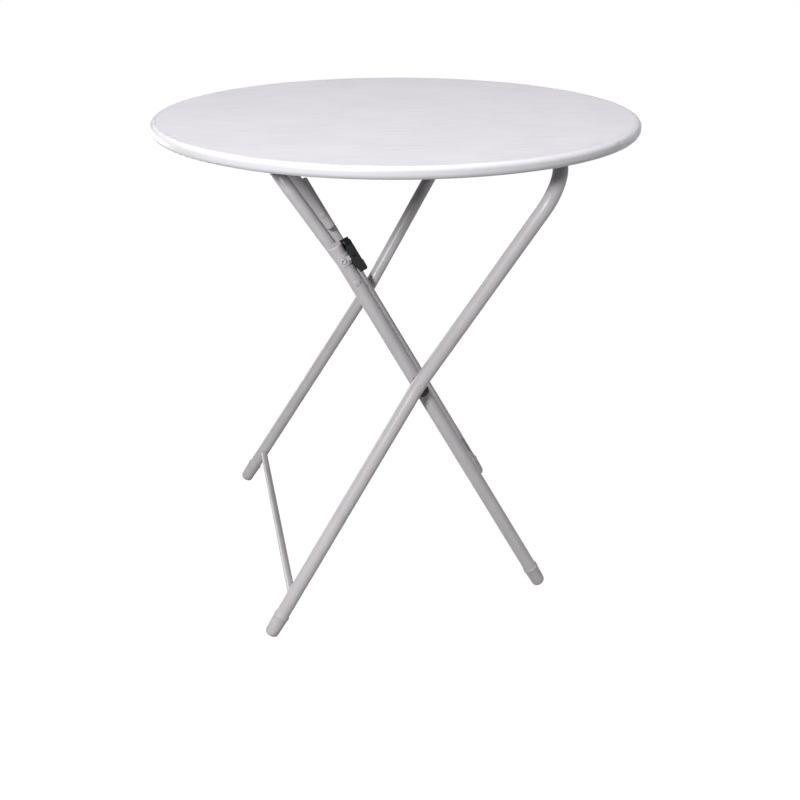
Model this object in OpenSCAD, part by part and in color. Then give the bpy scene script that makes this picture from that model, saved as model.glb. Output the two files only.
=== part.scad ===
// Folding round table on crossed tube legs.
// Millimetres, +Z up. The origin is on the floor below the centre of the top.
// X runs across the crossed legs, from the outer frame's feet to the inner frame's
// feet, and Y runs along the hinges, from the near side (-Y) to the far side (+Y).
// The outer frame hangs from its bar under the +X side of the top. The inner legs
// hang from a strut under the -X side, which they meet at a knee.

/* [Table top] */
// Diameter of the round top with its edge band
top_d = 750; // [690:5:900]
// Thickness of the board
board_t = 18; // [16:1:25]
// Height of the top face above the floor
table_h = 750; // [730:5:790]
// Width of the edge band, seen from above
band_w = 11; // [9:1:16]
// Corner radius of the edge band
band_r = 7.5; // [3:0.5:7.9]
// Thickness of the rib that holds the band in the board
rib_t = 2.6; // [2:0.1:4]
// Depth of that rib in the board
rib_depth = 8; // [5:1:12]

/* [Tubes] */
// Outer diameter of the leg tubes
tube_d = 22; // [20:0.5:24]
// Wall of the leg tubes
tube_wall = 1.2; // [1:0.1:2]
// Outer diameter of the strut tube
strut_d = 19; // [16:0.5:20]
// Wall of the strut tube
strut_wall = 1.2; // [1:0.1:2]
// Diameter of the cross rods
rod_d = 12; // [10:0.5:13]
// Wall of the cross rods
rod_wall = 1; // [0.8:0.1:2]

/* [Frame layout] */
// Reach of the outer frame's hinge from the middle, as a share of the height
hinge_share = 0.2583; // [0.25:0.0001:0.265]
// Depth of both hinge axes below the board
hinge_drop = 16; // [15:0.5:20]
// Reach of the outer frame's feet, as a share of the height
outer_foot_share = 0.3368; // [0.325:0.0001:0.345]
// Reach of the inner frame's feet, as a share of the height
inner_foot_share = 0.276; // [0.27:0.0001:0.285]
// Height of the crossing, as a share of the height
cross_share = 0.52; // [0.515:0.0001:0.53]
// Distance along the inner leg from the crossing to the knee, as a share of the height
knee_share = 0.2427; // [0.24:0.0001:0.245]
// Length of inner leg above the knee
leg_over = 60; // [56:1:64]
// Length of strut below the knee
strut_over = 25; // [20:1:30]
// Angle between the top and the outer frame when it is folded
fold_rest_a = 4; // [3.8:0.1:6]
// Angle between the two leg frames when they are folded
fold_gap_a = 2.8; // [2.8:0.1:3.4]

/* [Frame widths] */
// Half width of the outer frame at its top bar
outer_top_y = 283; // [280:1:300]
// Half width of the outer frame at the crossing
outer_waist_y = 231; // [230:1:240]
// Half width of the outer frame at the floor
outer_foot_y = 268; // [262:1:285]
// Half width of the inner frame
inner_y = 203; // [200:0.5:204]
// Gap between an inner leg and the strut beside it
knee_gap = 3.5; // [3.3:0.1:5]
// Bend radius of the outer frame's upper corners
outer_corner_r = 60; // [50:1:65]
// Bend radius of the outer frame at the crossing
waist_r = 150; // [100:5:200]
// Bend radius of the strut's corners
strut_corner_r = 45; // [38:1:50]
// Height of the outer cross rod above the floor
outer_rod_z = 62; // [58:1:85]
// Height of the inner cross rod above the floor
inner_rod_z = 84; // [70:1:100]

/* [Hinge saddles] */
// Distance of the outer frame's saddles from the middle
frame_saddle_y = 184; // [150:1:190]
// Distance of the strut's saddles from the middle
strut_saddle_y = 105; // [80:1:115]
// Length of a saddle along its bar
saddle_w = 24; // [18:1:30]
// Wall of a saddle round its bar
saddle_wall = 4; // [3:0.5:5]
// Thickness of a saddle's feet
saddle_foot_t = 4; // [3:0.5:6]
// Length of a saddle over both feet
saddle_len = 68; // [64:1:76]
// Diameter of the screw shanks
screw_d = 4; // [3.5:0.5:4.5]
// Diameter of the screw heads
screw_head_d = 8; // [7:0.5:9]
// Height of the screw heads
screw_head_h = 2.4; // [2:0.1:3]
// Depth of the screws in the board
screw_bite = 12; // [8:1:13]

/* [Pivots] */
// Diameter of the rivet shanks at the crossing and the knee
rivet_d = 8; // [6:0.5:9]
// Diameter of the rivet heads
rivet_head_d = 11; // [10:0.5:14]
// Height of the rivet heads
rivet_head_h = 1.3; // [1:0.1:2.5]
// Height of a rivet head's edge on the legs
rivet_edge_h = 0.4; // [0.2:0.1:0.6]
// Width of the spacers between the legs
spacer_d = 20; // [17:0.5:22]
// Reach of a spacer down the inner leg, from the rivet to its round end's middle
spacer_reach = 17; // [10:0.5:18]
// Reach of a spacer up the inner leg, past the rivet
spacer_rise = 6.5; // [6:0.5:10]
// Diameter of the knee washers
washer_d = 17; // [15:0.5:19]
// Radial running clearance of a shank in its bore
run_gap = 0.06; // [0.03:0.01:0.09]
// Clearance between faces that move past each other
face_gap = 0.3; // [0.25:0.05:0.4]

/* [Feet and plugs] */
// Diameter of the foot caps
foot_d = 24.8; // [24.5:0.1:28]
// Diameter of the lip round a foot cap's mouth
foot_lip_d = 26; // [25:0.1:29]
// Rounding of a foot cap's end
foot_round = 8; // [6:0.5:9]
// Depth that the sole is worn flat
sole_cut = 1.5; // [1:0.1:2]
// Length of tube inside a foot cap
foot_grip = 26; // [20:1:34]
// Height of the leg tubes' ends above the floor
foot_lift = 13; // [12:0.5:16]
// Thickness of the collar on an end plug
plug_collar_t = 3; // [2:0.5:4]
// Depth of an end plug in its tube
plug_depth = 14; // [10:1:18]

/* [Latch] */
// Height of the latch rivet below the inner leg's end
latch_rivet_down = 21.5; // [20:0.5:24]
// Diameter of the latch rivet's shank
latch_rivet_d = 5; // [4:0.5:6]
// Diameter of the latch rivet's head
latch_rivet_head_d = 9; // [8:0.5:10]
// Sheet thickness of the latch bracket
sheet_t = 1.5; // [1.2:0.1:1.6]
// Length of the latch bracket along the leg
bracket_len = 16; // [14:1:20]
// Height of the inner leg's end above the latch lever
lever_drop = 4; // [3:0.5:6]
// Length of the latch lever
lever_len = 44; // [42:1:50]
// Clearance of the lever's cheeks beside the tube
cheek_gap = 0.3; // [0.3:0.1:0.5]
// Height of the latch lever's back over the tube
lever_rise = 15.5; // [15:0.5:17]
// Depth of the hollow in the lever's back
back_dip = 2.2; // [1:0.2:2.4]
// Rounding of the lever's upper end
top_round = 3.5; // [2:0.5:4]
// Wall of the latch lever
lever_wall = 2.4; // [2:0.1:2.6]
// Reach of the thumb tab
tab_reach = 1.6; // [1:0.2:4]
// Diameter of the latch pin
latch_pin_d = 4; // [3:0.5:4]
// Height of the latch pin over the tube
latch_pin_rise = 6.6; // [6:0.1:7]
// Length of the latch finger that holds the strut
finger_len = 11; // [9:1:12]
// Opening angle of the latch lever
latch_open_a = 9; // [6:0.5:9]
// Diameter of the latch spring's wire
wire_d = 0.9; // [0.7:0.1:1]
// Turns of the latch spring
spring_turns = 3; // [2:1:5]

/* [Hidden] */
$fn = 72;
over = 1;
flat_gap = 0.2;
near = -1;
far = 1;

// Heights and the crossed geometry, in the XZ plane.
board_z = table_h - board_t;
hinge_z = board_z - hinge_drop;
hinge_x = hinge_share * table_h;
hinge_p = [hinge_x, hinge_z];
outer_foot_p = [-outer_foot_share * table_h, 0];
inner_foot_p = [inner_foot_share * table_h, 0];
outer_dir = (hinge_p - outer_foot_p) / norm(hinge_p - outer_foot_p);
cross_p = outer_foot_p + outer_dir * cross_share * table_h / outer_dir[1];
inner_dir = (cross_p - inner_foot_p) / norm(cross_p - inner_foot_p);
knee_along = knee_share * table_h;
knee_p = cross_p + inner_dir * knee_along;
outer_lean = atan2(outer_dir[0], outer_dir[1]);
inner_lean = atan2(inner_dir[0], inner_dir[1]);
hinge_to_cross = norm(hinge_p - cross_p);
outer_leg_len = norm(hinge_p - outer_foot_p);
inner_leg_down = norm(cross_p - inner_foot_p);

// The strut's hinge lies where the knee is equally far from it at rest and folded.
fold_cross_p = hinge_p - hinge_to_cross * [cos(fold_rest_a), sin(fold_rest_a)];
fold_knee_p = fold_cross_p
    + knee_along * [cos(fold_rest_a + fold_gap_a), sin(fold_rest_a + fold_gap_a)];
rest_rise = knee_p[1] - hinge_z;
fold_rise = fold_knee_p[1] - hinge_z;
strut_hinge_x = (pow(knee_p[0], 2) + pow(rest_rise, 2) - pow(fold_knee_p[0], 2)
    - pow(fold_rise, 2)) / 2 / (knee_p[0] - fold_knee_p[0]);
strut_hinge_p = [strut_hinge_x, hinge_z];
strut_dir = (strut_hinge_p - knee_p) / norm(strut_hinge_p - knee_p);
strut_len = norm(strut_hinge_p - knee_p);
strut_lean = atan2(strut_dir[0], strut_dir[1]);

// Travel of each joint from standing to folded, in degrees.
outer_travel = 90 - outer_lean - fold_rest_a;
strut_travel = 90 + strut_lean - asin(-fold_rise / strut_len);
inner_turn = 90 - inner_lean - fold_rest_a - fold_gap_a;
knee_travel = inner_turn + strut_travel;
echo(hinge = hinge_p, cross = cross_p, knee = knee_p, strut_hinge = strut_hinge_p);
echo(outer_travel = outer_travel, strut_travel = strut_travel, knee_travel = knee_travel);
echo(leans = [outer_lean, inner_lean, strut_lean], strut_len = strut_len);

// Planes of the legs across Y.
leg_r = tube_d / 2;
strut_r = strut_d / 2;
strut_y = inner_y - leg_r - knee_gap - strut_r;

// Lengths along the inner leg, measured from the crossing.
leg_end = knee_along + leg_over;
latch_at = leg_end - latch_rivet_down;

// Half paths of the bent tubes, as [across, along] points in their own planes.
outer_half = [[outer_top_y, 0], [outer_waist_y, -hinge_to_cross],
    [outer_foot_y, -outer_leg_len + foot_lift / outer_dir[1]]];
outer_radii = [outer_corner_r, waist_r, 0];
strut_half = [[strut_y, 0], [strut_y, -strut_len - strut_over]];
strut_radii = [strut_corner_r, 0];
// A bend is a hair thicker than the straight tube that runs into it.
bend_swell = 0.2;
bend_seat = 0.8;

function unit(v) = v / norm(v);
function cross_of(a, b) = a[0] * b[1] - a[1] * b[0];
function turn_of(a, b) = atan2(cross_of(a, b), a * b);
function inner_corner(p, i) = i > 0 && i < len(p) - 1;
function trim_of(p, r, i) = inner_corner(p, i)
    ? r[i] * tan(abs(turn_of(p[i] - p[i - 1], p[i + 1] - p[i])) / 2) - bend_seat : 0;
function run_out(p, e) = [for (i = [0:len(p) - 1]) i < len(p) - 1 ? p[i]
    : p[i] + e * unit(p[i] - p[i - 1])];
function backwards(v) = [for (i = [len(v) - 1:-1:0]) v[i]];
function both_halves(p) = concat([for (q = backwards(p)) [-q[0], q[1]]], p);

// The bend at the waist keeps the tube a little outside the corner of its path.
waist_turn = turn_of(outer_half[1] - outer_half[0], outer_half[2] - outer_half[1]);
waist_y = outer_waist_y + waist_r * (1 / cos(waist_turn / 2) - 1);
waist_out = waist_y + (tube_d + bend_swell) / 2;
waist_in = waist_y - (tube_d + bend_swell) / 2;

// A round bar along a path in the XY plane, with the corners bent to their radii.
module bent_bar(path, radii, d) {
    for (i = [0:len(path) - 2]) {
        u = unit(path[i + 1] - path[i]);
        a = path[i] + u * trim_of(path, radii, i);
        b = path[i + 1] - u * trim_of(path, radii, i + 1);
        translate(a) rotate([0, 0, atan2(u[1], u[0])]) rotate([0, 90, 0])
            cylinder(h = norm(b - a), d = d);
    }
    for (i = [1:len(path) - 2]) {
        u = unit(path[i] - path[i - 1]);
        turn = turn_of(u, path[i + 1] - path[i]);
        start = path[i] - u * (trim_of(path, radii, i) + bend_seat);
        centre = start + sign(turn) * radii[i] * [-u[1], u[0]];
        from_a = atan2(start[1] - centre[1], start[0] - centre[0]);
        translate(centre) rotate([0, 0, from_a + min(0, turn)])
            rotate_extrude(angle = abs(turn), $fn = 144) translate([radii[i], 0])
                circle(d = d + bend_swell, $fn = 48);
    }
}

// A U-shaped bar that is the same on the near and far sides.
module u_bar(half, radii, d) {
    bent_bar(both_halves(half), concat(backwards(radii), radii), d);
}

// Stands a frame drawn in the XY plane up at its hinge: X becomes Y, Y runs up the leg.
module stand(p, lean) {
    translate([p[0], 0, p[1]]) rotate([0, lean, 0]) rotate([90, 0, 90]) children();
}

// A round bar along Y through a point of the XZ plane, from one y to another.
module y_bar(p, y0, y1, d) {
    translate([p[0], max(y0, y1), p[1]]) rotate([90, 0, 0])
        cylinder(h = abs(y1 - y0), d = d);
}

// A low domed head that sits on a face at y and rises away from it along dir.
module y_head(p, y, dir, d, h) {
    dome_r = (pow(d / 2, 2) + pow(h, 2)) / 2 / h;
    translate([p[0], y, p[1]]) rotate([-90 * dir, 0, 0]) intersection() {
        cylinder(h = h, d = d);
        translate([0, 0, h - dome_r]) sphere(r = dome_r, $fn = 96);
    }
}

// The frame of the inner leg: Z runs up the leg from the crossing, X faces the +X side.
module on_inner(y) {
    translate([cross_p[0], y, cross_p[1]]) rotate([0, inner_lean, 0]) children();
}

module top_board() {
    core_d = top_d - 2 * band_w;
    color("#f2f1f4") difference() {
        translate([0, 0, board_z]) cylinder(h = board_t, d = core_d, $fn = 240);
        translate([0, 0, board_z + board_t / 2 - rib_t / 2 - flat_gap])
            difference() {
                cylinder(h = rib_t + 2 * flat_gap, d = core_d + over, $fn = 240);
                translate([0, 0, -over])
                    cylinder(h = rib_t + 2 * flat_gap + 2 * over,
                        d = core_d - 2 * rib_depth - 2 * flat_gap, $fn = 240);
            }
        for (p = screw_places)
            translate([p[0], p[1], board_z - over])
                cylinder(h = screw_bite + over, d = screw_d, $fn = 24);
    }
}

module edge_band() {
    core_r = top_d / 2 - band_w;
    color("#f7f6f9") translate([0, 0, board_z]) rotate_extrude($fn = 240) {
        translate([core_r, 0]) difference() {
            union() {
                square([band_w - band_r, board_t]);
                translate([0, band_r]) square([band_w, board_t - 2 * band_r]);
                for (z = [band_r, board_t - band_r])
                    translate([band_w - band_r, z]) circle(r = band_r, $fn = 48);
            }
            translate([-2 * band_r, -over]) square([2 * band_r, board_t + 2 * over]);
        }
        translate([core_r - rib_depth, board_t / 2 - rib_t / 2])
            square([rib_depth + over, rib_t]);
    }
}

screw_reach = saddle_len / 2 - screw_head_d / 2 - over;
screw_places = [for (s = [near, far], x = [-screw_reach, screw_reach])
    each [[hinge_x + x, s * frame_saddle_y], [strut_hinge_x + x, s * strut_saddle_y]]];

// A saddle: a boss round the bar under two screwed feet.
module saddle(x, y, bar_d) {
    boss_r = bar_d / 2 + run_gap + saddle_wall;
    web_w = boss_r + saddle_wall;
    color("#2c2b2e") translate([x, y, hinge_z]) difference() {
        rotate([90, 0, 0]) translate([0, 0, -saddle_w / 2]) linear_extrude(saddle_w)
            difference() {
                union() {
                    circle(r = boss_r);
                    translate([-boss_r, 0]) square([2 * boss_r, hinge_drop]);
                    polygon([[-web_w, hinge_drop - saddle_foot_t], [-boss_r, 0],
                        [boss_r, 0], [web_w, hinge_drop - saddle_foot_t]]);
                    translate([-saddle_len / 2, hinge_drop - saddle_foot_t])
                        square([saddle_len, saddle_foot_t]);
                }
                circle(r = bar_d / 2 + run_gap);
            }
        for (sx = [-screw_reach, screw_reach])
            translate([sx, 0, hinge_drop - saddle_foot_t - over])
                cylinder(h = saddle_foot_t + 2 * over, d = screw_d, $fn = 24);
    }
}

module saddle_screws() {
    color("#b9bbbd") for (p = screw_places) translate([p[0], p[1], 0]) {
        translate([0, 0, board_z - saddle_foot_t])
            cylinder(h = saddle_foot_t + screw_bite - over, d = screw_d, $fn = 24);
        translate([0, 0, board_z - saddle_foot_t - screw_head_h])
            cylinder(h = screw_head_h, d1 = screw_head_d - screw_head_h,
                d2 = screw_head_d, $fn = 32);
    }
}

module outer_frame_solid() {
    stand(hinge_p, outer_lean) u_bar(outer_half, outer_radii, tube_d);
}

module outer_frame_tube() {
    color("#aaa7aa") difference() {
        outer_frame_solid();
        stand(hinge_p, outer_lean)
            u_bar(run_out(outer_half, over), outer_radii, tube_d - 2 * tube_wall);
        y_bar(cross_p, -outer_top_y, outer_top_y, rivet_d);
    }
}

function on_outer(z) = outer_foot_p + outer_dir * z / outer_dir[1];
function on_inner_line(z) = inner_foot_p + inner_dir * z / inner_dir[1];

module outer_cross_rod() {
    p = on_outer(outer_rod_z);
    color("#aaa7aa") difference() {
        y_bar(p, -outer_foot_y, outer_foot_y, rod_d);
        y_bar(p, -outer_top_y, outer_top_y, rod_d - 2 * rod_wall);
        outer_frame_solid();
    }
}

// A foot cap on the tube end at the origin. Z runs up the leg. The cap's round end
// reaches below the floor by the depth of its sole.
module foot_profile(grip, lean) {
    side = foot_d / 2 - foot_round;
    round_z = (foot_round - sole_cut + side * sin(lean) - foot_lift) / cos(lean);
    lip = grip / 9;
    rotate_extrude($fn = 64) polygon(concat([[0, round_z - foot_round]],
        [for (a = [-90:15:0]) [side + foot_round * cos(a), round_z + foot_round * sin(a)]],
        [[foot_d / 2, grip - 2 * lip], [foot_lip_d / 2, grip - 1.6 * lip],
            [foot_lip_d / 2, grip - 0.4 * lip], [foot_d / 2, grip], [tube_d / 2, grip],
            [tube_d / 2, 0], [0, 0]]));
}

module floor_cut() {
    translate([-top_d, -top_d, -top_d]) cube([2 * top_d, 2 * top_d, top_d]);
}

module outer_foot(s) {
    tail = outer_half[2];
    dir = unit(tail - outer_half[1]);
    color("#c9c8ca") difference() {
        stand(hinge_p, outer_lean) translate([s * tail[0], tail[1], 0])
            rotate([0, 0, s * atan2(dir[0], -dir[1])]) rotate([-90, 0, 0])
                foot_profile(foot_grip, outer_lean);
        floor_cut();
    }
}

module inner_foot(s) {
    color("#c9c8ca") difference() {
        on_inner(s * inner_y) translate([0, 0, -inner_leg_down + foot_lift / inner_dir[1]])
            foot_profile(foot_grip, abs(inner_lean));
        floor_cut();
    }
}

// A rivet head seated on a round bar: the children are the bar, which cuts the back of
// the head to its own curve.
module seated_head(p, y, dir) {
    difference() {
        union() {
            y_head(p, y, dir, rivet_head_d, rivet_head_h);
            y_bar(p, y + dir * rivet_edge_h, y - dir * leg_r, rivet_head_d);
        }
        children();
    }
}

// The outer frame's half of the rivet at the crossing.
module cross_rivet(s) {
    color("#c4c2c4") {
        y_bar(cross_p, s * (waist_out + rivet_edge_h), s * waist_in, rivet_d);
        seated_head(cross_p, s * waist_out, s) outer_frame_solid();
    }
}

// A spacer between the legs. It saddles the inner leg and runs on down it.
module cross_spacer(s) {
    outside = waist_in - face_gap;
    color("#262527") difference() {
        union() {
            y_bar(cross_p - spacer_reach * inner_dir, s * outside, s * inner_y, spacer_d);
            on_inner(s * (inner_y + outside) / 2)
                translate([0, 0, (spacer_rise - spacer_reach) / 2])
                    cube([spacer_d, outside - inner_y, spacer_rise + spacer_reach],
                        center = true);
        }
        inner_bar(s);
        y_bar(cross_p, s * outer_top_y, 0, rivet_d);
    }
}

// The space that an inner leg fills near the crossing.
module inner_bar(s) {
    on_inner(s * inner_y) translate([0, 0, -2 * spacer_d])
        cylinder(h = 4 * spacer_d, d = tube_d);
}

// The inner leg's half of that rivet, drawn on the near side and mirrored to the far side.
module cross_rivet_tail(s) {
    inside = inner_y - leg_r;
    color("#c4c2c4") mirror([0, s - near, 0]) {
        y_bar(cross_p, near * (waist_in - face_gap), near * (inside - rivet_edge_h), rivet_d);
        seated_head(cross_p, near * inside, far) inner_bar(near);
    }
}

module inner_leg(s) {
    bottom = -inner_leg_down + foot_lift / inner_dir[1];
    color("#aaa7aa") difference() {
        on_inner(s * inner_y) translate([0, 0, bottom])
            difference() {
                cylinder(h = leg_end - bottom, d = tube_d);
                translate([0, 0, -over])
                    cylinder(h = leg_end - bottom + 2 * over, d = tube_d - 2 * tube_wall);
            }
        y_bar(cross_p, -outer_top_y, outer_top_y, rivet_d);
        y_bar(knee_p, -outer_top_y, outer_top_y, rivet_d + 2 * run_gap);
        if (s == near) y_bar(latch_rivet_p, -outer_top_y, outer_top_y, latch_rivet_d);
    }
}

module inner_cross_rod() {
    p = on_inner_line(inner_rod_z);
    color("#aaa7aa") difference() {
        y_bar(p, -inner_y, inner_y, rod_d);
        y_bar(p, -outer_top_y, outer_top_y, rod_d - 2 * rod_wall);
        for (s = [near, far]) on_inner(s * inner_y) translate([0, 0, -inner_leg_down])
            cylinder(h = inner_leg_down, d = tube_d);
    }
}

// A plug in an open tube end at the origin. Z runs out of the tube.
module plug(d, wall) {
    rotate_extrude($fn = 64) polygon([[0, -plug_depth],
        [d / 2 - wall - plug_collar_t / 3, -plug_depth],
        [d / 2 - wall, plug_collar_t - plug_depth], [d / 2 - wall, 0], [d / 2, 0],
        [d / 2, plug_collar_t * 0.6], [d / 2 - plug_collar_t * 0.4, plug_collar_t],
        [0, plug_collar_t]]);
}

module inner_leg_plug(s) {
    color("#d3d2d4") on_inner(s * inner_y) translate([0, 0, leg_end]) plug(tube_d, tube_wall);
}

module strut_tube() {
    color("#aaa7aa") difference() {
        stand(strut_hinge_p, strut_lean) u_bar(strut_half, strut_radii, strut_d);
        stand(strut_hinge_p, strut_lean)
            u_bar(run_out(strut_half, over), strut_radii, strut_d - 2 * strut_wall);
        y_bar(knee_p, -outer_top_y, outer_top_y, rivet_d);
    }
}

module strut_plug(s) {
    color("#b9b7ba") stand(strut_hinge_p, strut_lean)
        translate([s * strut_y, -strut_len - strut_over, 0]) rotate([90, 0, 0])
            plug(strut_d, strut_wall);
}

// The knee rivet is fast in the strut and turns in the inner leg.
module knee_rivet(s) {
    outside = inner_y + leg_r + face_gap;
    inside = strut_y - strut_r;
    color("#c4c2c4") {
        y_bar(knee_p, s * inside, s * outside, rivet_d);
        y_head(knee_p, s * outside, s, rivet_head_d, rivet_head_h);
        y_head(knee_p, s * inside, -s, rivet_head_d, rivet_head_h);
    }
}

module knee_washer(s) {
    color("#262527") difference() {
        y_bar(knee_p, s * (strut_y + strut_r + face_gap), s * (inner_y - leg_r - face_gap),
            washer_d);
        y_bar(knee_p, s * strut_y, s * inner_y, rivet_d);
    }
}

// The latch, in the near inner leg's frame: X away from the leg, Y to the far side.
latch_rivet_p = cross_p + inner_dir * latch_at;
pin_x = leg_r + latch_pin_rise;
pin_z = latch_at;
ear_r = latch_pin_d / 2 + sheet_t;
ear_w = tube_d;
cavity_w = tube_d + 2 * cheek_gap;
lever_w = cavity_w + 2 * lever_wall;
lever_top = leg_end - lever_drop;
lever_low = lever_top - lever_len;
lever_back = leg_r + lever_rise;
lever_front = leg_r + sheet_t + face_gap;
cheek_front = leg_r + face_gap;
// The lever's lower end stands off the tube by as much as it swings in.
low_front = pin_x + (leg_r + face_gap - pin_x + (pin_z - lever_low) * sin(latch_open_a))
    / cos(latch_open_a);
finger_y = inner_y - strut_y + strut_r - face_gap;
finger_x = leg_r - 2 * lever_wall;

// The bracket wraps the +X side of the near inner leg and carries two ears.
module latch_bracket() {
    wrap_r = leg_r + sheet_t;
    wrap_low = latch_at - bracket_len / 2;
    color("#8d8f86") on_inner(near * inner_y) difference() {
        union() {
            translate([0, 0, wrap_low]) intersection() {
                cylinder(h = bracket_len, r = wrap_r);
                translate([-latch_rivet_head_d / 2, -wrap_r, 0])
                    cube([2 * wrap_r, 2 * wrap_r, bracket_len]);
            }
            for (s = [near, far])
                translate([0, s * (ear_w - sheet_t) / 2 + sheet_t / 2, 0])
                    rotate([90, 0, 0]) linear_extrude(sheet_t) {
                        translate([pin_x, pin_z]) circle(r = ear_r);
                        translate([0, pin_z - ear_r]) square([pin_x, 2 * ear_r]);
                    }
        }
        translate([0, 0, wrap_low - over])
            cylinder(h = bracket_len + 2 * over, d = tube_d);
        translate([pin_x, leg_r, pin_z]) rotate([90, 0, 0])
            cylinder(h = tube_d, d = latch_pin_d);
        translate([0, wrap_r + over, latch_at]) rotate([90, 0, 0])
            cylinder(h = 2 * wrap_r + 2 * over, d = latch_rivet_d);
    }
}

module latch_rivet() {
    out_y = inner_y + leg_r + sheet_t;
    in_y = inner_y - leg_r - sheet_t;
    color("#c4c2c4") {
        y_bar(latch_rivet_p, -out_y, -in_y, latch_rivet_d);
        y_head(latch_rivet_p, -out_y, near, latch_rivet_head_d, sheet_t);
        y_head(latch_rivet_p, -in_y, far, latch_rivet_head_d, sheet_t);
    }
}

module latch_pin() {
    pin_len = lever_w + sheet_t;
    color("#c4c2c4") on_inner(near * inner_y) translate([pin_x, pin_len / 2, pin_z])
        rotate([90, 0, 0]) cylinder(h = pin_len, d = latch_pin_d);
}

// Side outline of the lever: a hollow back between the thumb tab and the rounded top,
// and cheeks that reach to the tube.
module lever_outline() {
    tab = lever_back + tab_reach;
    hollow_low = lever_low + 3.4 * lever_wall;
    hollow_top = lever_top - top_round;
    polygon(concat([[cheek_front + lever_wall, lever_low], [tab - lever_wall, lever_low],
        [tab, lever_low + lever_wall], [tab, lever_low + 2 * lever_wall]],
        [for (t = [0:0.1:1]) [lever_back - back_dip * sin(180 * t),
            hollow_low + t * (hollow_top - hollow_low)]],
        [for (a = [15:15:90]) [lever_back - top_round * (1 - cos(a)),
            lever_top - top_round * (1 - sin(a))]],
        [[cheek_front + top_round, lever_top], [cheek_front, lever_top - top_round],
            [cheek_front, lever_low + 4 * lever_wall]]));
}

// A block from the lever's front to x, between its cheeks, from one height to another.
module between_cheeks(x, low, high) {
    translate([0, -cavity_w / 2, low]) cube([x, cavity_w, high - low]);
}

// The lever is a channel over the ears, with cheeks beside the tube. Its finger reaches
// behind the strut.
module latch_lever() {
    cavity_low = lever_low + 2 * lever_wall;
    finger_low = lever_top - lever_wall - finger_len;
    color("#1d1c1e") difference() {
        on_inner(near * inner_y) difference() {
            union() {
                translate([0, lever_w / 2, 0]) rotate([90, 0, 0]) linear_extrude(lever_w)
                    lever_outline();
                translate([lever_front, 0, finger_low])
                    cube([lever_back - lever_wall - lever_front, finger_y, finger_len]);
                translate([finger_x, lever_w / 2 - over, finger_low])
                    cube([lever_front - finger_x + over, finger_y - lever_w / 2 + over,
                        finger_len]);
            }
            between_cheeks(lever_back - back_dip - lever_wall, cavity_low, finger_low);
            between_cheeks(low_front, lever_low - over, cavity_low + over);
            between_cheeks(lever_front, finger_low - over, lever_top + over);
            translate([pin_x, lever_w, pin_z]) rotate([90, 0, 0])
                cylinder(h = 2 * lever_w, d = latch_pin_d + 2 * run_gap);
        }
        stand(strut_hinge_p, strut_lean) translate([near * strut_y, 0, 0])
            rotate([90, 0, 0]) cylinder(h = strut_len, d = strut_d + 2 * face_gap);
    }
}

// The latch spring's wire: one end on the bracket, its turns round the pin, and the
// other end down on the lever's lower wall.
coil_r = latch_pin_d / 2 + wire_d / 2 + 2 * flat_gap;
coil_step = wire_d + 3 * flat_gap;
turn_rings = 12;
spring_half = spring_turns * coil_step / 2;
spring_wire = [[lever_front + wire_d / 2, -spring_half, pin_z + ear_r - wire_d / 2],
    for (i = [0:spring_turns * turn_rings])
        let (a = 180 + 360 * i / turn_rings)
            [pin_x + coil_r * cos(a), -spring_half + coil_step * i / turn_rings,
                pin_z + coil_r * sin(a)],
    [pin_x - coil_r, spring_half, lever_low + 2 * lever_wall + 0.6 * wire_d]];

// A wire with six sides along points whose turns are round the Y axis.
module wire_along(points, d) {
    sides = 6;
    last = len(points) - 1;
    function along(i) = unit(points[min(i + 1, last)] - points[max(i - 1, 0)]);
    ring = [for (i = [0:last]) let (t = along(i), n = unit(cross(t, [0, 1, 0])),
        m = cross(n, t)) for (k = [0:sides - 1])
            points[i] + d / 2 * (cos(360 * k / sides) * n + sin(360 * k / sides) * m)];
    skin = [for (i = [0:last - 1], k = [0:sides - 1]) let (j = (k + 1) % sides,
        a = i * sides) each [[a + k, a + sides + k, a + j],
            [a + j, a + sides + k, a + sides + j]]];
    ends = [[for (k = [0:sides - 1]) k],
        [for (k = [sides - 1:-1:0]) last * sides + k]];
    polyhedron(points = ring, faces = concat(skin, ends));
}

module latch_spring() {
    color("#c4c2c4") on_inner(near * inner_y) wire_along(spring_wire, wire_d);
}

top_board();
edge_band();
saddle(hinge_x, near * frame_saddle_y, tube_d);  // frame_saddle_near
saddle(hinge_x, far * frame_saddle_y, tube_d);  // frame_saddle_far
saddle(strut_hinge_x, near * strut_saddle_y, strut_d);  // strut_saddle_near
saddle(strut_hinge_x, far * strut_saddle_y, strut_d);  // strut_saddle_far
saddle_screws();
outer_frame_tube();
outer_cross_rod();
outer_foot(near);  // outer_foot_near
outer_foot(far);  // outer_foot_far
cross_rivet(near);  // cross_rivet_near
cross_rivet(far);  // cross_rivet_far
cross_spacer(near);  // cross_spacer_near
cross_spacer(far);  // cross_spacer_far
inner_leg(near);  // inner_leg_near
inner_leg(far);  // inner_leg_far
inner_cross_rod();
inner_foot(near);  // inner_foot_near
inner_foot(far);  // inner_foot_far
inner_leg_plug(near);  // inner_leg_plug_near
inner_leg_plug(far);  // inner_leg_plug_far
cross_rivet_tail(near);  // cross_rivet_tail_near
cross_rivet_tail(far);  // cross_rivet_tail_far
strut_tube();
strut_plug(near);  // strut_plug_near
strut_plug(far);  // strut_plug_far
knee_rivet(near);  // knee_rivet_near
knee_rivet(far);  // knee_rivet_far
knee_washer(near);  // knee_washer_near
knee_washer(far);  // knee_washer_far
latch_bracket();
latch_rivet();
latch_pin();
latch_lever();
latch_spring();
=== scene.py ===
"""A folding table with a round laminate top, crossed tube legs and a safety latch, in a white studio."""
import math

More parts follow.
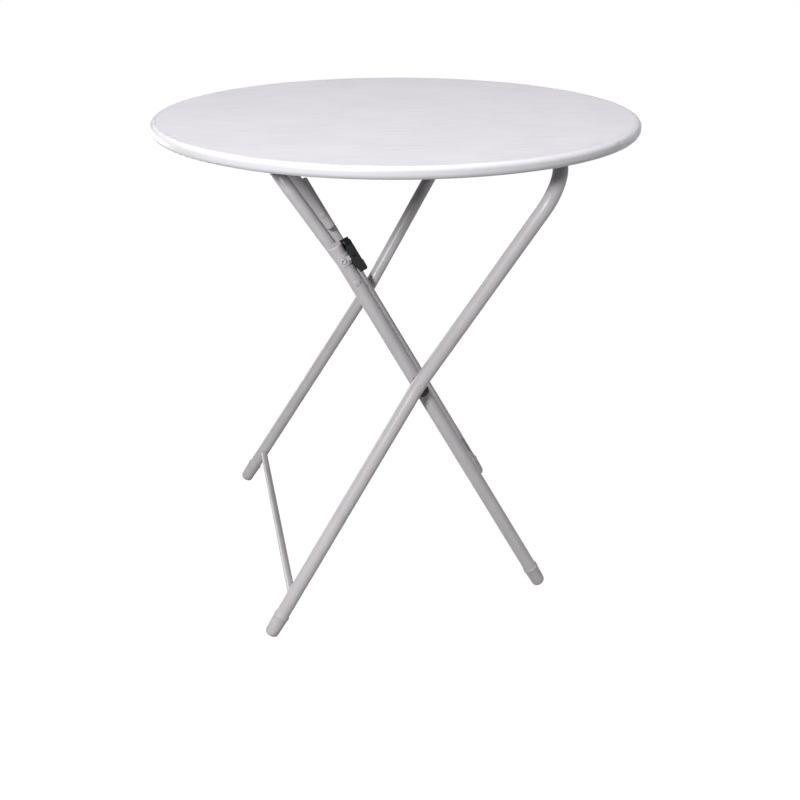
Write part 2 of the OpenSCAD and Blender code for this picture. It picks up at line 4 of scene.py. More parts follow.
import bpy
import bmesh
from mathutils import Matrix, Vector
from mathutils.bvhtree import BVHTree


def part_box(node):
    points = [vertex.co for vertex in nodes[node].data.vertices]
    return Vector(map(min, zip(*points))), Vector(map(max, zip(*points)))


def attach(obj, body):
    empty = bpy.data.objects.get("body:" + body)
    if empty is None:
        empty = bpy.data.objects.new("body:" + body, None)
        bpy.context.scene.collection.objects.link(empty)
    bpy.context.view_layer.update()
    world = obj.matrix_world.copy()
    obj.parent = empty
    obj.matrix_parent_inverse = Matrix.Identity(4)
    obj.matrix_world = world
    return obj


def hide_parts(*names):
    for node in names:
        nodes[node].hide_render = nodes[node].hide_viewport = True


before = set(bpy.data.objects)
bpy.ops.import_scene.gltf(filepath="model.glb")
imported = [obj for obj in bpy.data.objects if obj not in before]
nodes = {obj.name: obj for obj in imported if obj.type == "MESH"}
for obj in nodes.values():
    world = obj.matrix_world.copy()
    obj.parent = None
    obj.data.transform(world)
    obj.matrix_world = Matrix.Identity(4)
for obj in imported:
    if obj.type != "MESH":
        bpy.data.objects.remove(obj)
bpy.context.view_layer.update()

MM = 0.001
SIDES = {"near": -1, "far": 1}


# Colours and shader nodes

def srgb(code):
    """The linear colour of an sRGB hex code such as "#e2e0e5"."""
    parts = [int(code[i:i + 2], 16) / 255 for i in (1, 3, 5)]
    linear = [p / 12.92 if p <= 0.04045 else ((p + 0.055) / 1.055) ** 2.4 for p in parts]
    return (*linear, 1.0)


def add(tree, kind, inputs=None, **settings):
    """Adds one node with its settings, and fills its inputs with values or with other nodes' sockets."""
    new = tree.nodes.new(kind)
    for name, value in settings.items():
        setattr(new, name, value)
    for name, value in (inputs or {}).items():
        if isinstance(value, bpy.types.NodeSocket):
            tree.links.new(value, new.inputs[name])
        else:
            new.inputs[name].default_value = value
    return new


# Places of a colour Mix node's sockets
FACTOR, UNDER, OVER, MIXED = 0, 6, 7, 2


def new_finish(name, **values):
    """A material with its shader's plain values, its node tree, and its own coordinates in millimetres."""
    material = bpy.data.materials.new(name)
    material.use_nodes = True
    tree = material.node_tree
    shader = tree.nodes["Principled BSDF"]
    for key, value in values.items():
        shader.inputs[key.replace("_", " ")].default_value = value
    place = add(tree, "ShaderNodeTexCoord").outputs["Object"]
    in_mm = add(tree, "ShaderNodeMapping", {"Vector": place, "Scale": (1 / MM,) * 3})
    return material, tree, shader, in_mm.outputs["Vector"]


def join_surface(tree, shader, colour, roughness, normal):
    """Joins a finish's colour, roughness and relief to its shader."""
    tree.links.new(colour, shader.inputs["Base Color"])
    tree.links.new(roughness, shader.inputs["Roughness"])
    tree.links.new(normal, shader.inputs["Normal"])


# Materials. A pattern's scale is one over its size in millimetres, and a bump's distance is its height.

def pressed_melamine():
    """Melamine-faced board, pressed against an embossed plate: satin white, soft pebbles in faint waves.

    The waves are 6 mm wide and twelve times as long, across the table. Real pebbles are under a millimetre
    across. They are drawn 3 mm across, because finer ones don't show.
    """
    material, tree, shader, mm = new_finish("pressed_melamine", IOR=1.5, Specular_IOR_Level=0.1)
    drawn_out = add(tree, "ShaderNodeMapping", {"Vector": mm, "Scale": (1 / 12, 1, 1)})
    waves = add(tree, "ShaderNodeTexNoise", {"Vector": drawn_out.outputs["Vector"], "Scale": 1 / 6,
                "Detail": 5, "Roughness": 0.6, "Distortion": 0.4})
    cloud = add(tree, "ShaderNodeTexNoise", {"Vector": mm, "Scale": 1 / 70, "Detail": 3})
    pebble = add(tree, "ShaderNodeTexNoise", {"Vector": mm, "Scale": 1 / 3, "Detail": 2})
    wave_share = add(tree, "ShaderNodeMapRange", {"Value": waves.outputs["Fac"],
                     "From Min": 0.35, "From Max": 0.68})
    cloud_share = add(tree, "ShaderNodeMapRange", {"Value": cloud.outputs["Fac"],
                      "From Min": 0.35, "From Max": 0.7, "To Max": 0.5})
    waved = add(tree, "ShaderNodeMix", {FACTOR: wave_share.outputs["Result"],
                UNDER: srgb("#e4e2e7"), OVER: srgb("#dad8de")}, data_type="RGBA")
    clouded = add(tree, "ShaderNodeMix", {FACTOR: cloud_share.outputs["Result"],
                  UNDER: waved.outputs[MIXED], OVER: srgb("#e8e6eb")}, data_type="RGBA")
    rough = add(tree, "ShaderNodeMapRange", {"Value": waves.outputs["Fac"],
                "From Min": 0.3, "From Max": 0.7, "To Min": 0.44, "To Max": 0.56})
    waved_face = add(tree, "ShaderNodeBump", {"Height": waves.outputs["Fac"], "Distance": 0.06 * MM})
    face = add(tree, "ShaderNodeBump", {"Height": pebble.outputs["Fac"], "Distance": 0.08 * MM,
               "Normal": waved_face.outputs["Normal"]})
    join_surface(tree, shader, clouded.outputs[MIXED], rough.outputs["Result"], face.outputs["Normal"])
    return material


SEAM_HALF_MM = 0.45


def extruded_abs_edge():
    """Extruded ABS edging: smooth, slightly glossy white, with draw lines round the rim, scuffs and a seam.

    Real draw lines are tenths of a millimetre apart. They are drawn 1 mm apart, because finer ones don't
    show.
    """
    material, tree, shader, mm = new_finish("extruded_abs_edge", IOR=1.53)
    drawn_out = add(tree, "ShaderNodeMapping", {"Vector": mm, "Scale": (1 / 60, 1 / 60, 1)})
    draw_lines = add(tree, "ShaderNodeTexNoise", {"Vector": drawn_out.outputs["Vector"], "Scale": 1,
                     "Detail": 3})
    scuff = add(tree, "ShaderNodeTexNoise", {"Vector": mm, "Scale": 1 / 9, "Detail": 6, "Roughness": 0.7})
    scuff_share = add(tree, "ShaderNodeMapRange", {"Value": scuff.outputs["Fac"],
                      "From Min": 0.5, "From Max": 0.75, "To Max": 0.6})
    scuffed = add(tree, "ShaderNodeMix", {FACTOR: scuff_share.outputs["Result"],
                  UNDER: srgb("#eae9ed"), OVER: srgb("#dfdee2")}, data_type="RGBA")
    axes = add(tree, "ShaderNodeSeparateXYZ", {"Vector": mm})
    off_seam = add(tree, "ShaderNodeMath", {0: axes.outputs["X"]}, operation="ABSOLUTE")
    at_seam = add(tree, "ShaderNodeMath", {0: off_seam.outputs["Value"], 1: SEAM_HALF_MM},
                  operation="LESS_THAN")
    at_back = add(tree, "ShaderNodeMath", {0: axes.outputs["Y"], 1: 0.0}, operation="GREATER_THAN")
    seam = add(tree, "ShaderNodeMath", {0: at_seam.outputs["Value"], 1: at_back.outputs["Value"]},
               operation="MULTIPLY")
    seamed = add(tree, "ShaderNodeMix", {FACTOR: seam.outputs["Value"],
                 UNDER: scuffed.outputs[MIXED], OVER: srgb("#8d8b8c")}, data_type="RGBA")
    rough = add(tree, "ShaderNodeMapRange", {"Value": scuff.outputs["Fac"],
                "From Min": 0.35, "From Max": 0.7, "To Min": 0.32, "To Max": 0.46})
    face = add(tree, "ShaderNodeBump", {"Height": draw_lines.outputs["Fac"], "Distance": 0.015 * MM})
    join_surface(tree, shader, seamed.outputs[MIXED], rough.outputs["Result"], face.outputs["Normal"])
    return material


def powder_coated_tube():
    """Steel tube under light grey powder coat: satin, with orange peel about 2 mm across and dusty rubs."""
    material, tree, shader, mm = new_finish("powder_coated_tube", IOR=1.5)
    peel = add(tree, "ShaderNodeTexNoise", {"Vector": mm, "Scale": 1 / 2, "Detail": 1.5})
    pool = add(tree, "ShaderNodeTexNoise", {"Vector": mm, "Scale": 1 / 30, "Detail": 4})
    rub = add(tree, "ShaderNodeTexNoise", {"Vector": mm, "Scale": 1 / 7, "Detail": 7, "Roughness": 0.72})
    pool_share = add(tree, "ShaderNodeMapRange", {"Value": pool.outputs["Fac"],
                     "From Min": 0.35, "From Max": 0.7})
    rub_share = add(tree, "ShaderNodeMapRange", {"Value": rub.outputs["Fac"],
                    "From Min": 0.6, "From Max": 0.78, "To Max": 0.5})
    pooled = add(tree, "ShaderNodeMix", {FACTOR: pool_share.outputs["Result"],
                 UNDER: srgb("#cbc7ca"), OVER: srgb("#d3cfd2")}, data_type="RGBA")
    rubbed = add(tree, "ShaderNodeMix", {FACTOR: rub_share.outputs["Result"],
                 UNDER: pooled.outputs[MIXED], OVER: srgb("#bbb7ba")}, data_type="RGBA")
    rough = add(tree, "ShaderNodeMapRange", {"Value": rub.outputs["Fac"],
                "From Min": 0.35, "From Max": 0.7, "To Min": 0.3, "To Max": 0.42})
    face = add(tree, "ShaderNodeBump", {"Height": peel.outputs["Fac"], "Distance": 0.05 * MM})
    join_surface(tree, shader, rubbed.outputs[MIXED], rough.outputs["Result"], face.outputs["Normal"])
    return material


def moulded_polyethylene(name, clean, worn_and_low_tint, low_dark_mm):
    """Moulded polyethylene: matt, with a spark-eroded mould's grain, and darker towards the floor up to a
    given height in millimetres.

    Real grain is about a tenth of a millimetre across. It is drawn 0.8 mm across, because finer grain
    doesn't show.
    """
    material, tree, shader, mm = new_finish(name, IOR=1.51)
    grain = add(tree, "ShaderNodeTexNoise", {"Vector": mm, "Scale": 1 / 0.8, "Detail": 2})
    patch = add(tree, "ShaderNodeTexNoise", {"Vector": mm, "Scale": 1 / 11, "Detail": 5, "Roughness": 0.65})
    patch_share = add(tree, "ShaderNodeMapRange", {"Value": patch.outputs["Fac"],
                      "From Min": 0.42, "From Max": 0.72, "To Max": 0.5})
    height = add(tree, "ShaderNodeSeparateXYZ", {"Vector": mm})
    # Darker towards the floor: the darker tint is mixed in most at floor level, and not at all from the
    # given height up.
    low_dark_share = add(tree, "ShaderNodeMapRange", {"Value": height.outputs["Z"],
                     "From Max": low_dark_mm, "To Min": 0.9, "To Max": 0.0})
    share = add(tree, "ShaderNodeMath", {0: patch_share.outputs["Result"],
                1: low_dark_share.outputs["Result"]}, operation="MAXIMUM")
    tint = add(tree, "ShaderNodeMix", {FACTOR: share.outputs["Value"],
               UNDER: srgb(clean), OVER: srgb(worn_and_low_tint)}, data_type="RGBA")
    rough = add(tree, "ShaderNodeMapRange", {"Value": patch.outputs["Fac"],
                "From Min": 0.3, "From Max": 0.7, "To Min": 0.44, "To Max": 0.6})
    face = add(tree, "ShaderNodeBump", {"Height": grain.outputs["Fac"], "Distance": 0.03 * MM})
    join_surface(tree, shader, tint.outputs[MIXED], rough.outputs["Result"], face.outputs["Normal"])
    return material


def moulded_nylon():
    """Black nylon, moulded: satin, with the mould's fine grain and faintly paler rubbed patches.

    The grain is drawn 0.7 mm across here, coarser than the real one, because finer grain doesn't show.
    """
    material, tree, shader, mm = new_finish("moulded_nylon", IOR=1.53, Specular_IOR_Level=0.35)
    grain = add(tree, "ShaderNodeTexNoise", {"Vector": mm, "Scale": 1 / 0.7, "Detail": 2})
    rub = add(tree, "ShaderNodeTexNoise", {"Vector": mm, "Scale": 1 / 6, "Detail": 6, "Roughness": 0.7})
    rub_share = add(tree, "ShaderNodeMapRange", {"Value": rub.outputs["Fac"],
                    "From Min": 0.5, "From Max": 0.75, "To Max": 0.5})
    tint = add(tree, "ShaderNodeMix", {FACTOR: rub_share.outputs["Result"],
               UNDER: srgb("#0c0c0e"), OVER: srgb("#1b1b1e")}, data_type="RGBA")
    rough = add(tree, "ShaderNodeMapRange", {"Value": rub.outputs["Fac"],
                "From Min": 0.3, "From Max": 0.7, "To Min": 0.4, "To Max": 0.56})
    face = add(tree, "ShaderNodeBump", {"Height": grain.outputs["Fac"], "Distance": 0.03 * MM})
    join_surface(tree, shader, tint.outputs[MIXED], rough.outputs["Result"], face.outputs["Normal"])
    return material


def bright_zinc(name, code, clouded, roughness):
    """Zinc-plated steel: a bluish bright metal, or a black one, clouded where the plating was passivated.

    The plating's pits are drawn 0.5 mm across here, coarser than real ones, because finer ones don't show.
    """
    material, tree, shader, mm = new_finish(name, Metallic=1.0)
    cloud = add(tree, "ShaderNodeTexNoise", {"Vector": mm, "Scale": 1 / 3, "Detail": 5, "Roughness": 0.65})
    pit = add(tree, "ShaderNodeTexNoise", {"Vector": mm, "Scale": 1 / 0.5, "Detail": 2})
    share = add(tree, "ShaderNodeMapRange", {"Value": cloud.outputs["Fac"],
                "From Min": 0.3, "From Max": 0.7})
    tint = add(tree, "ShaderNodeMix", {FACTOR: share.outputs["Result"],
               UNDER: srgb(code), OVER: srgb(clouded)}, data_type="RGBA")
    rough = add(tree, "ShaderNodeMapRange", {"Value": cloud.outputs["Fac"],
                "From Min": 0.3, "From Max": 0.7, "To Min": roughness, "To Max": roughness + 0.16})
    face = add(tree, "ShaderNodeBump", {"Height": pit.outputs["Fac"], "Distance": 0.01 * MM})
    join_surface(tree, shader, tint.outputs[MIXED], rough.outputs["Result"], face.outputs["Normal"])
    return material


melamine = pressed_melamine()
white_edge = extruded_abs_edge()
coated = powder_coated_tube()
grey_cap = moulded_polyethylene("grey_polyethylene", "#cecacd", "#a8a4a6", low_dark_mm=5)
pale_cap = moulded_polyethylene("pale_polyethylene", "#d6d4d7", "#c4c1c4", low_dark_mm=1)
nylon = moulded_nylon()
zinc = bright_zinc("bright_zinc", "#c9cad0", "#a9abb2", 0.26)
wire = bright_zinc("drawn_spring_wire", "#bfc0c4", "#a9abb2", 0.2)
black_zinc = bright_zinc("black_passivated_zinc", "#2a2a2d", "#1c1c1f", 0.4)

FINISHES = {
    "top_board": melamine, "edge_band": white_edge,
    "frame_saddle": nylon, "strut_saddle": nylon, "saddle_screws": zinc,
    "outer_frame_tube": coated, "outer_cross_rod": coated, "inner_leg": coated,
    "inner_cross_rod": coated, "strut_tube": coated,
    "outer_foot": grey_cap, "inner_foot": grey_cap,
    "cross_rivet": coated, "cross_rivet_tail": coated, "cross_spacer": nylon,
    "knee_rivet": coated, "knee_washer": nylon,
    "inner_leg_plug": pale_cap, "strut_plug": grey_cap,
    "latch_bracket": coated, "latch_rivet": coated, "latch_pin": black_zinc, "latch_lever": nylon,
    "latch_spring": wire}

for node_name, node_object in nodes.items():
    plain_name = node_name.removesuffix("_near").removesuffix("_far")
    for finish in node_object.material_slots:
        finish.material = FINISHES[plain_name]


# Pieces built here

SHARP_FROM = math.radians(35)
SAME_PLACE = 0.001 * MM


def new_piece(name, shape, material, body, crisp=False):
    """An object made from a bmesh, riding on a body, in a slot's finish. A crisp one keeps its edges."""
    bmesh.ops.recalc_face_normals(shape, faces=shape.faces)
    mesh = bpy.data.meshes.new(name)
    shape.to_mesh(mesh)
    shape.free()
    mesh.shade_smooth()
    if crisp:
        mesh.set_sharp_from_angle(angle=SHARP_FROM)
    mesh.materials.append(material)
    piece = bpy.data.objects.new(name, mesh)
    bpy.context.scene.collection.objects.link(piece)
    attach(piece, body)
    return piece


# A weld bead: its radius, its steps round the rod, its section's sides, and its ripples
BEAD_R = 1.5 * MM
BEAD_STEPS = 120
BEAD_SIDES = 10
BEAD_RIPPLES = 22
RIPPLE_SHARE = 0.14


def weld_bead(name, rod_name, leg_name, side, body):
    """A rippled weld bead where a cross rod meets a leg on one side."""
    low, high = (Vector(corner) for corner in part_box(rod_name))
    middle = (low + high) / 2
    rod_r = (high.z - low.z) / 2
    leg = bmesh.new()
    leg.from_mesh(nodes[leg_name].data)
    tree = BVHTree.FromBMesh(leg)
    leg.free()
    shape = bmesh.new()
    rings = []
    for step in range(BEAD_STEPS):
        turn = math.tau * step / BEAD_STEPS
        out = Vector((math.cos(turn), 0, math.sin(turn)))
        start = middle + out * rod_r
        hit = tree.ray_cast(start, Vector((0, side, 0)))[0]
        radius = BEAD_R * (1 + RIPPLE_SHARE * math.sin(BEAD_RIPPLES * turn))
        centre = Vector((start.x, hit.y, start.z))
        ring = []
        for corner in range(BEAD_SIDES):
            bend = math.tau * corner / BEAD_SIDES
            reach = out * math.cos(bend) + Vector((0, side, 0)) * math.sin(bend)
            ring.append(shape.verts.new(centre + reach * radius))
        rings.append(ring)
    for step in range(BEAD_STEPS):
        here, after = rings[step], rings[(step + 1) % BEAD_STEPS]
        for corner in range(BEAD_SIDES):
            beside = (corner + 1) % BEAD_SIDES
            shape.faces.new((here[corner], here[beside], after[beside], after[corner]))
    return new_piece(name, shape, coated, body)


for side_name, side in SIDES.items():
    weld_bead("outer_rod_weld_" + side_name, "outer_cross_rod", "outer_frame_tube", side, "outer_frame")
    weld_bead("inner_rod_weld_" + side_name, "inner_cross_rod", "inner_leg_" + side_name, side,
              "inner_frame")


def add_turned(shape, outline, sides, place):
    """Adds a turned solid from (radius, height) points, whose axis is the Z axis of the place matrix."""
    rings = []
    for radius, height in outline:
        count = sides if radius else 1
        ring = []
        for i in range(count):
            turn = math.tau * i / count
            spot = Vector((radius * math.cos(turn), radius * math.sin(turn), height))
            ring.append(shape.verts.new(place @ spot))
        rings.append(ring)
    for low, high in zip(rings, rings[1:]):
        for i in range(sides):
            corners = [low[i % len(low)], low[(i + 1) % len(low)],
                       high[(i + 1) % len(high)], high[i % len(high)]]
            shape.faces.new(dict.fromkeys(corners))


TURNED_SIDES = 40
HEAD_H = 2.4 * MM
SHANK_SHARE = 0.55
# A pan head's dome from its middle to its edge, as shares of the head's radius and height
DOME = ((0, 1), (0.3, 0.98), (0.6, 0.86), (0.82, 0.62), (0.96, 0.3), (1, 0.08), (1, 0))

# A cross recess: its cutter's start below the head, its depth, and half its bars' length and width
RECESS_SINK = 0.2 * MM
RECESS_DEPTH = 1.5 * MM
RECESS_MOUTH = (2.1 * MM, 0.55 * MM)
RECESS_FLOOR = (0.9 * MM, 0.35 * MM)


def add_cross_recess(shape, centre):
    """Adds the two tapered bars of a cross recess, from just below a head's lowest point up into it."""
    for turn in (0, math.pi / 2):
        spin = Matrix.Rotation(turn, 4, "Z")
        corners = []
        for (long, wide), height in ((RECESS_MOUTH, -RECESS_SINK), (RECESS_FLOOR, RECESS_DEPTH)):
            for x, y in ((-1, -1), (1, -1), (1, 1), (-1, 1)):
                corners.append(shape.verts.new(centre + spin @ Vector((x * long, y * wide, height))))
        for face in ((0, 1, 2, 3), (7, 6, 5, 4), (0, 4, 5, 1), (1, 5, 6, 2), (2, 6, 7, 3), (3, 7, 4, 0)):
            shape.faces.new([corners[i] for i in face])


def loose_boxes(node_name):
    """The low and high corners of each loose solid in a CAD node."""
    solid = bmesh.new()
    solid.from_mesh(nodes[node_name].data)
    bmesh.ops.remove_doubles(solid, verts=solid.verts, dist=SAME_PLACE)
    left = set(solid.verts)
    boxes = []
    while left:
        island = [left.pop()]
        for vert in island:
            for edge in vert.link_edges:
                other = edge.other_vert(vert)
                if other in left:
                    left.remove(other)
                    island.append(other)
        boxes.append([Vector([pick(v.co[axis] for v in island) for axis in range(3)])
                      for pick in (min, max)])
    solid.free()
    return sorted(boxes, key=lambda box: tuple(box[0]))


def cut_away(shape, cutter):
    """Cuts one bmesh out of another, and frees the cutter."""
    things = []
    for name, solid in (("uncut", shape), ("cutter", cutter)):
        bmesh.ops.recalc_face_normals(solid, faces=solid.faces)
        mesh = bpy.data.meshes.new(name)
        solid.to_mesh(mesh)
        thing = bpy.data.objects.new(name, mesh)
        bpy.context.scene.collection.objects.link(thing)
        things.append(thing)
    cutter.free()
    uncut, tool = things
    cut = uncut.modifiers.new("cut", "BOOLEAN")
    cut.object = tool
    cut.use_self = True
    bpy.context.view_layer.update()
    cut_mesh = bpy.data.meshes.new_from_object(uncut.evaluated_get(bpy.context.evaluated_depsgraph_get()))
    shape.clear()
    shape.from_mesh(cut_mesh)
    bpy.data.meshes.remove(cut_mesh)
    for thing in things:
        mesh = thing.data
        bpy.data.objects.remove(thing)
        bpy.data.meshes.remove(mesh)


def pan_head_screws():
    """The saddles' wood screws, with domed pan heads and cross recesses, in place of the CAD screws."""
    shape = bmesh.new()
    cutter = bmesh.new()
    for low, high in loose_boxes("saddle_screws"):
        middle = (low + high) / 2
        head_r = (high.x - low.x) / 2
        shank_r = head_r * SHANK_SHARE
        seat = Matrix.Translation((middle.x, middle.y, low.z + HEAD_H))
        rise = high.z - low.z - HEAD_H
        dome = [(head_r * out, -HEAD_H * down) for out, down in DOME]
        add_turned(shape, dome + [(shank_r, 0), (shank_r, rise), (0, rise)], TURNED_SIDES, seat)
        add_cross_recess(cutter, Vector((middle.x, middle.y, low.z)))
    cut_away(shape, cutter)
    screws = new_piece("pan_head_screws", shape, zinc, "top", crisp=True)
    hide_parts("saddle_screws")


pan_head_screws()


RIVET_HEAD_H = 1.5 * MM
RIVET_SHANK_R = 2.5 * MM
# A rolled rim from the hollow's floor outwards, as shares of the head's radius and height
ROLLED_RIM = ((0.34, -0.9), (0.42, -0.1), (0.52, 0.75), (0.64, 1),
              (0.8, 0.88), (0.94, 0.5), (1, 0.1), (1, 0))


def rolled_rivet():
    """The latch's tubular rivet, with a rolled rim on both heads, in place of the CAD rivet."""
    low, high = (Vector(corner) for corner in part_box("latch_rivet"))
    middle = (low + high) / 2
    half = (high.y - low.y) / 2
    head_r = (high.x - low.x) / 2
    seat = half - RIVET_HEAD_H
    upper = [(head_r * out, seat + up * RIVET_HEAD_H) for out, up in ROLLED_RIM]
    lower = [(radius, -height) for radius, height in reversed(upper)]
    shank = [(RIVET_SHANK_R, seat), (RIVET_SHANK_R, -seat)]
    outline = [(0, upper[0][1])] + upper + shank + lower + [(0, lower[-1][1])]
    shape = bmesh.new()
    along_y = Matrix.Translation(middle) @ Matrix.Rotation(math.pi / 2, 4, "X")
    add_turned(shape, outline, TURNED_SIDES, along_y)
    rivet = new_piece("rolled_latch_rivet", shape, coated, "inner_frame")
    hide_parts("latch_rivet")


rolled_rivet()


TOUCHING = 0.005 * MM


def tube_end(node_name, side, pick):
    """The middle of a tube's lowest (min) or highest (max) end on one side, and the way it faces."""
    tube = nodes[node_name].data
    end = pick((face for face in tube.polygons if face.center.y * side > 0), key=lambda face: face.center.z)
    ring = [vert.co for vert in tube.vertices
            if vert.co.y * side > 0 and abs((vert.co - end.center).dot(end.normal)) < TOUCHING]
    return sum(ring, Vector()) / len(ring), end.normal.copy()


# A foot cap's wall lies outside its socket's radius. Past the wall's end, which is measured down from the
# leg's end, the cap is solid. Both are drawn in to these shares of the CAD cap.
SEAT_R = 11.05 * MM
WALL_END = 4 * MM
END_SHARE = 0.88
WALL_SHARE = 0.955


def drawn_foot_cap(side_name, frame_name, leg_name):
    """A foot cap whose wall tapers to a slimmer end and whose lip is low, in place of the CAD cap."""
    cad_name = frame_name + "_foot_" + side_name
    middle, axis = tube_end(leg_name, SIDES[side_name], min)
    shape = bmesh.new()
    shape.from_mesh(nodes[cad_name].data)
    for vert in shape.verts:
        rest = vert.co - middle
        down = rest.dot(axis)
        out = rest - axis * down
        share = 1
        if down > WALL_END:
            share = END_SHARE
        elif out.length > SEAT_R:
            share = WALL_SHARE
        on_floor = vert.co.z < TOUCHING
        vert.co = middle + axis * down + out * share
        if on_floor:
            vert.co.z = 0
    cap = new_piece("drawn_" + cad_name, shape, grey_cap, frame_name + "_frame", crisp=True)
    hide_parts(cad_name)


for side_name in SIDES:
    drawn_foot_cap(side_name, "outer", "outer_frame_tube")
    drawn_foot_cap(side_name, "inner", "inner_leg_" + side_name)


# How far the nose's two slants lie from the crossing rivet's axis
CHAMFER_AWAY = 5.2 * MM


def nosed_spacer(side_name):
    """A spacer whose upper end narrows to a nose behind the outer tube, in place of the CAD spacer."""
    cad_name = "cross_spacer_" + side_name
    rivet = sum((Vector(corner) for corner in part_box("cross_rivet_" + side_name)), Vector()) / 2
    up_leg = -tube_end("inner_leg_" + side_name, SIDES[side_name], min)[1]
    across = up_leg.cross(Vector((0, 1, 0)))
    shape = bmesh.new()
    shape.from_mesh(nodes[cad_name].data)
    bmesh.ops.remove_doubles(shape, verts=shape.verts, dist=SAME_PLACE)
    for way in (-1, 1):
        slant = (up_leg + across * way).normalized()
        bmesh.ops.bisect_plane(shape, geom=shape.verts[:] + shape.edges[:] + shape.faces[:],
                               plane_co=rivet + slant * CHAMFER_AWAY, plane_no=slant, clear_outer=True)
        bmesh.ops.holes_fill(shape, edges=[edge for edge in shape.edges if edge.is_boundary])
    spacer = new_piece("nosed_" + cad_name, shape, nylon, "inner_frame", crisp=True)
    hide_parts(cad_name)


for side_name in SIDES:
    nosed_spacer(side_name)


# The waist in the CAD lever's back: its reach along the leg from the leg's upper end, and out from the
# leg's axis. It is filled out to the back, and what lies past SLIM_FROM is drawn in.
WAIST_ALONG = (-39.9 * MM, -7.4 * MM)
WAIST_OUT = (24.2 * MM, 26.49 * MM)
BACK_OUT = 26.5 * MM
SLIM_FROM = 19.8 * MM
SLIM_SHARE = 0.7


def straight_lever():
    """The latch lever with a straight and slimmer back, in place of the CAD lever."""
    middle, up_leg = tube_end("inner_leg_near", SIDES["near"], max)
    out_of_leg = Vector((0, 1, 0)).cross(up_leg)
    shape = bmesh.new()
    shape.from_mesh(nodes["latch_lever"].data)
    for vert in shape.verts:
        rest = vert.co - middle
        along = rest.dot(up_leg)
        away = rest.dot(out_of_leg)
        wanted = away
        if WAIST_ALONG[0] < along < WAIST_ALONG[1] and WAIST_OUT[0] < away < WAIST_OUT[1]:
            wanted = BACK_OUT
        if wanted > SLIM_FROM:
            wanted = SLIM_FROM + (wanted - SLIM_FROM) * SLIM_SHARE
        vert.co += out_of_leg * (wanted - away)
    lever = new_piece("straight_latch_lever", shape, nylon, "latch", crisp=True)
    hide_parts("latch_lever")


straight_lever()


# Camera at the photograph's place, in metres from the table's foot point

CAMERA_TURN = math.radians(-10.9113)
CAMERA_PITCH = math.radians(23.6593)
CAMERA_AWAY = 1.8544
CAMERA_HEIGHT = 1.0779
CAMERA_SIDE = 0.0067
SENSOR_MM = 36
LENS_MM = 53.147


def add_camera():
    """The camera, looking down at the table from the front and a little to the left."""
    right = Vector((math.cos(CAMERA_TURN), math.sin(CAMERA_TURN), 0))
    level = Vector((-math.sin(CAMERA_TURN), math.cos(CAMERA_TURN), 0))
    forward = level * math.cos(CAMERA_PITCH) - Vector((0, 0, math.sin(CAMERA_PITCH)))
    up = right.cross(forward)
    data = bpy.data.cameras.new("front_camera")
    data.sensor_width = SENSOR_MM
    data.lens = LENS_MM
    camera = bpy.data.objects.new("front_camera", data)
    camera.matrix_world = Matrix((
        (right.x, up.x, -forward.x, 0), (right.y, up.y, -forward.y, 0),
        (right.z, up.z, -forward.z, 0), (0, 0, 0, 1)))
    camera.location = level * -CAMERA_AWAY + right * CAMERA_SIDE + Vector((0, 0, CAMERA_HEIGHT))
    bpy.context.scene.collection.objects.link(camera)
    bpy.context.scene.camera = camera


add_camera()


# Studio: white floor, white surround and soft lamps

WHITE = srgb("#ffffff")
FLOOR_HALF = 30.0
# The share of light that the floor gives back, its glow where it is seen, and the surround's strength
FLOOR_GREY = 0.14
SEEN_GLOW = 0.985
SURROUND = 0.08


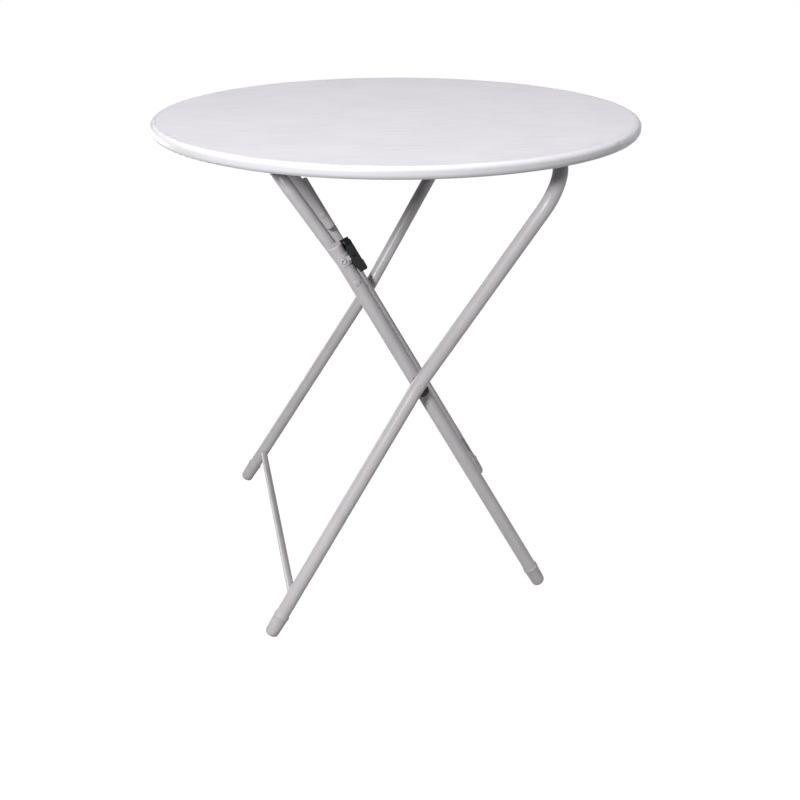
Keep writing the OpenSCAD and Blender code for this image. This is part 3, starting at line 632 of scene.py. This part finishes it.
def white_floor():
    """A floor that keeps the table's shadow, and glows up to white where the camera or a gloss sees it."""
    mesh = bpy.data.meshes.new("studio_floor")
    corners = [(x * FLOOR_HALF, y * FLOOR_HALF, 0) for x, y in ((-1, -1), (1, -1), (1, 1), (-1, 1))]
    mesh.from_pydata(corners, [], [(0, 1, 2, 3)])
    floor = bpy.data.objects.new("studio_floor", mesh)
    bpy.context.scene.collection.objects.link(floor)
    material = bpy.data.materials.new("studio_white")
    material.use_nodes = True
    tree = material.node_tree
    tree.nodes.clear()
    matt = add(tree, "ShaderNodeBsdfDiffuse", {"Color": (FLOOR_GREY, FLOOR_GREY, FLOOR_GREY, 1)})
    glow = add(tree, "ShaderNodeEmission", {"Color": WHITE, "Strength": SEEN_GLOW})
    lit = add(tree, "ShaderNodeAddShader", {0: matt.outputs["BSDF"], 1: glow.outputs["Emission"]})
    path = add(tree, "ShaderNodeLightPath")
    direct = add(tree, "ShaderNodeMath", {0: path.outputs["Is Camera Ray"],
                 1: path.outputs["Is Glossy Ray"]}, operation="MAXIMUM")
    seen = add(tree, "ShaderNodeMath", {0: direct.outputs["Value"],
               1: path.outputs["Is Transmission Ray"]}, operation="MAXIMUM")
    mixed = add(tree, "ShaderNodeMixShader", {0: seen.outputs["Value"], 1: matt.outputs["BSDF"],
                2: lit.outputs["Shader"]})
    add(tree, "ShaderNodeOutputMaterial", {"Surface": mixed.outputs["Shader"]})
    mesh.materials.append(material)


def add_lamp(name, energy, size, place, aim):
    """A square soft box, with its energy in watts and its size in metres, turned to an aim point."""
    data = bpy.data.lights.new(name, "AREA")
    data.energy = energy
    data.size = size
    lamp = bpy.data.objects.new(name, data)
    lamp.location = place
    lamp.rotation_euler = (Vector(aim) - Vector(place)).to_track_quat("-Z", "Y").to_euler()
    bpy.context.scene.collection.objects.link(lamp)


def white_surround(strength):
    """Even light from a white world, which the camera sees as plain white."""
    world = bpy.data.worlds.new("studio_surround")
    world.use_nodes = True
    tree = world.node_tree
    tree.nodes.clear()
    path = add(tree, "ShaderNodeLightPath")
    level = add(tree, "ShaderNodeMapRange", {"Value": path.outputs["Is Camera Ray"],
                "To Min": strength, "To Max": 1.0})
    white = add(tree, "ShaderNodeBackground", {"Color": WHITE, "Strength": level.outputs["Result"]})
    add(tree, "ShaderNodeOutputWorld", {"Surface": white.outputs["Background"]})
    bpy.context.scene.world = world


white_floor()
white_surround(SURROUND)
add_lamp("key_soft_box", energy=66, size=0.45, place=(-1.7, -2.3, 1.68), aim=(0, 0, 0.45))
add_lamp("overhead_soft_box", energy=54, size=2.0, place=(-0.1, -0.3, 3.2), aim=(0, 0, 0.75))
add_lamp("fill_soft_box", energy=9, size=1.6, place=(2.4, -0.9, 1.3), aim=(0, 0, 0.4))
add_lamp("back_soft_box", energy=12, size=0.7, place=(-1.6, 2.1, 0.4), aim=(0, 0, 0.4))

view = bpy.context.scene.view_settings
view.view_transform = "Standard"
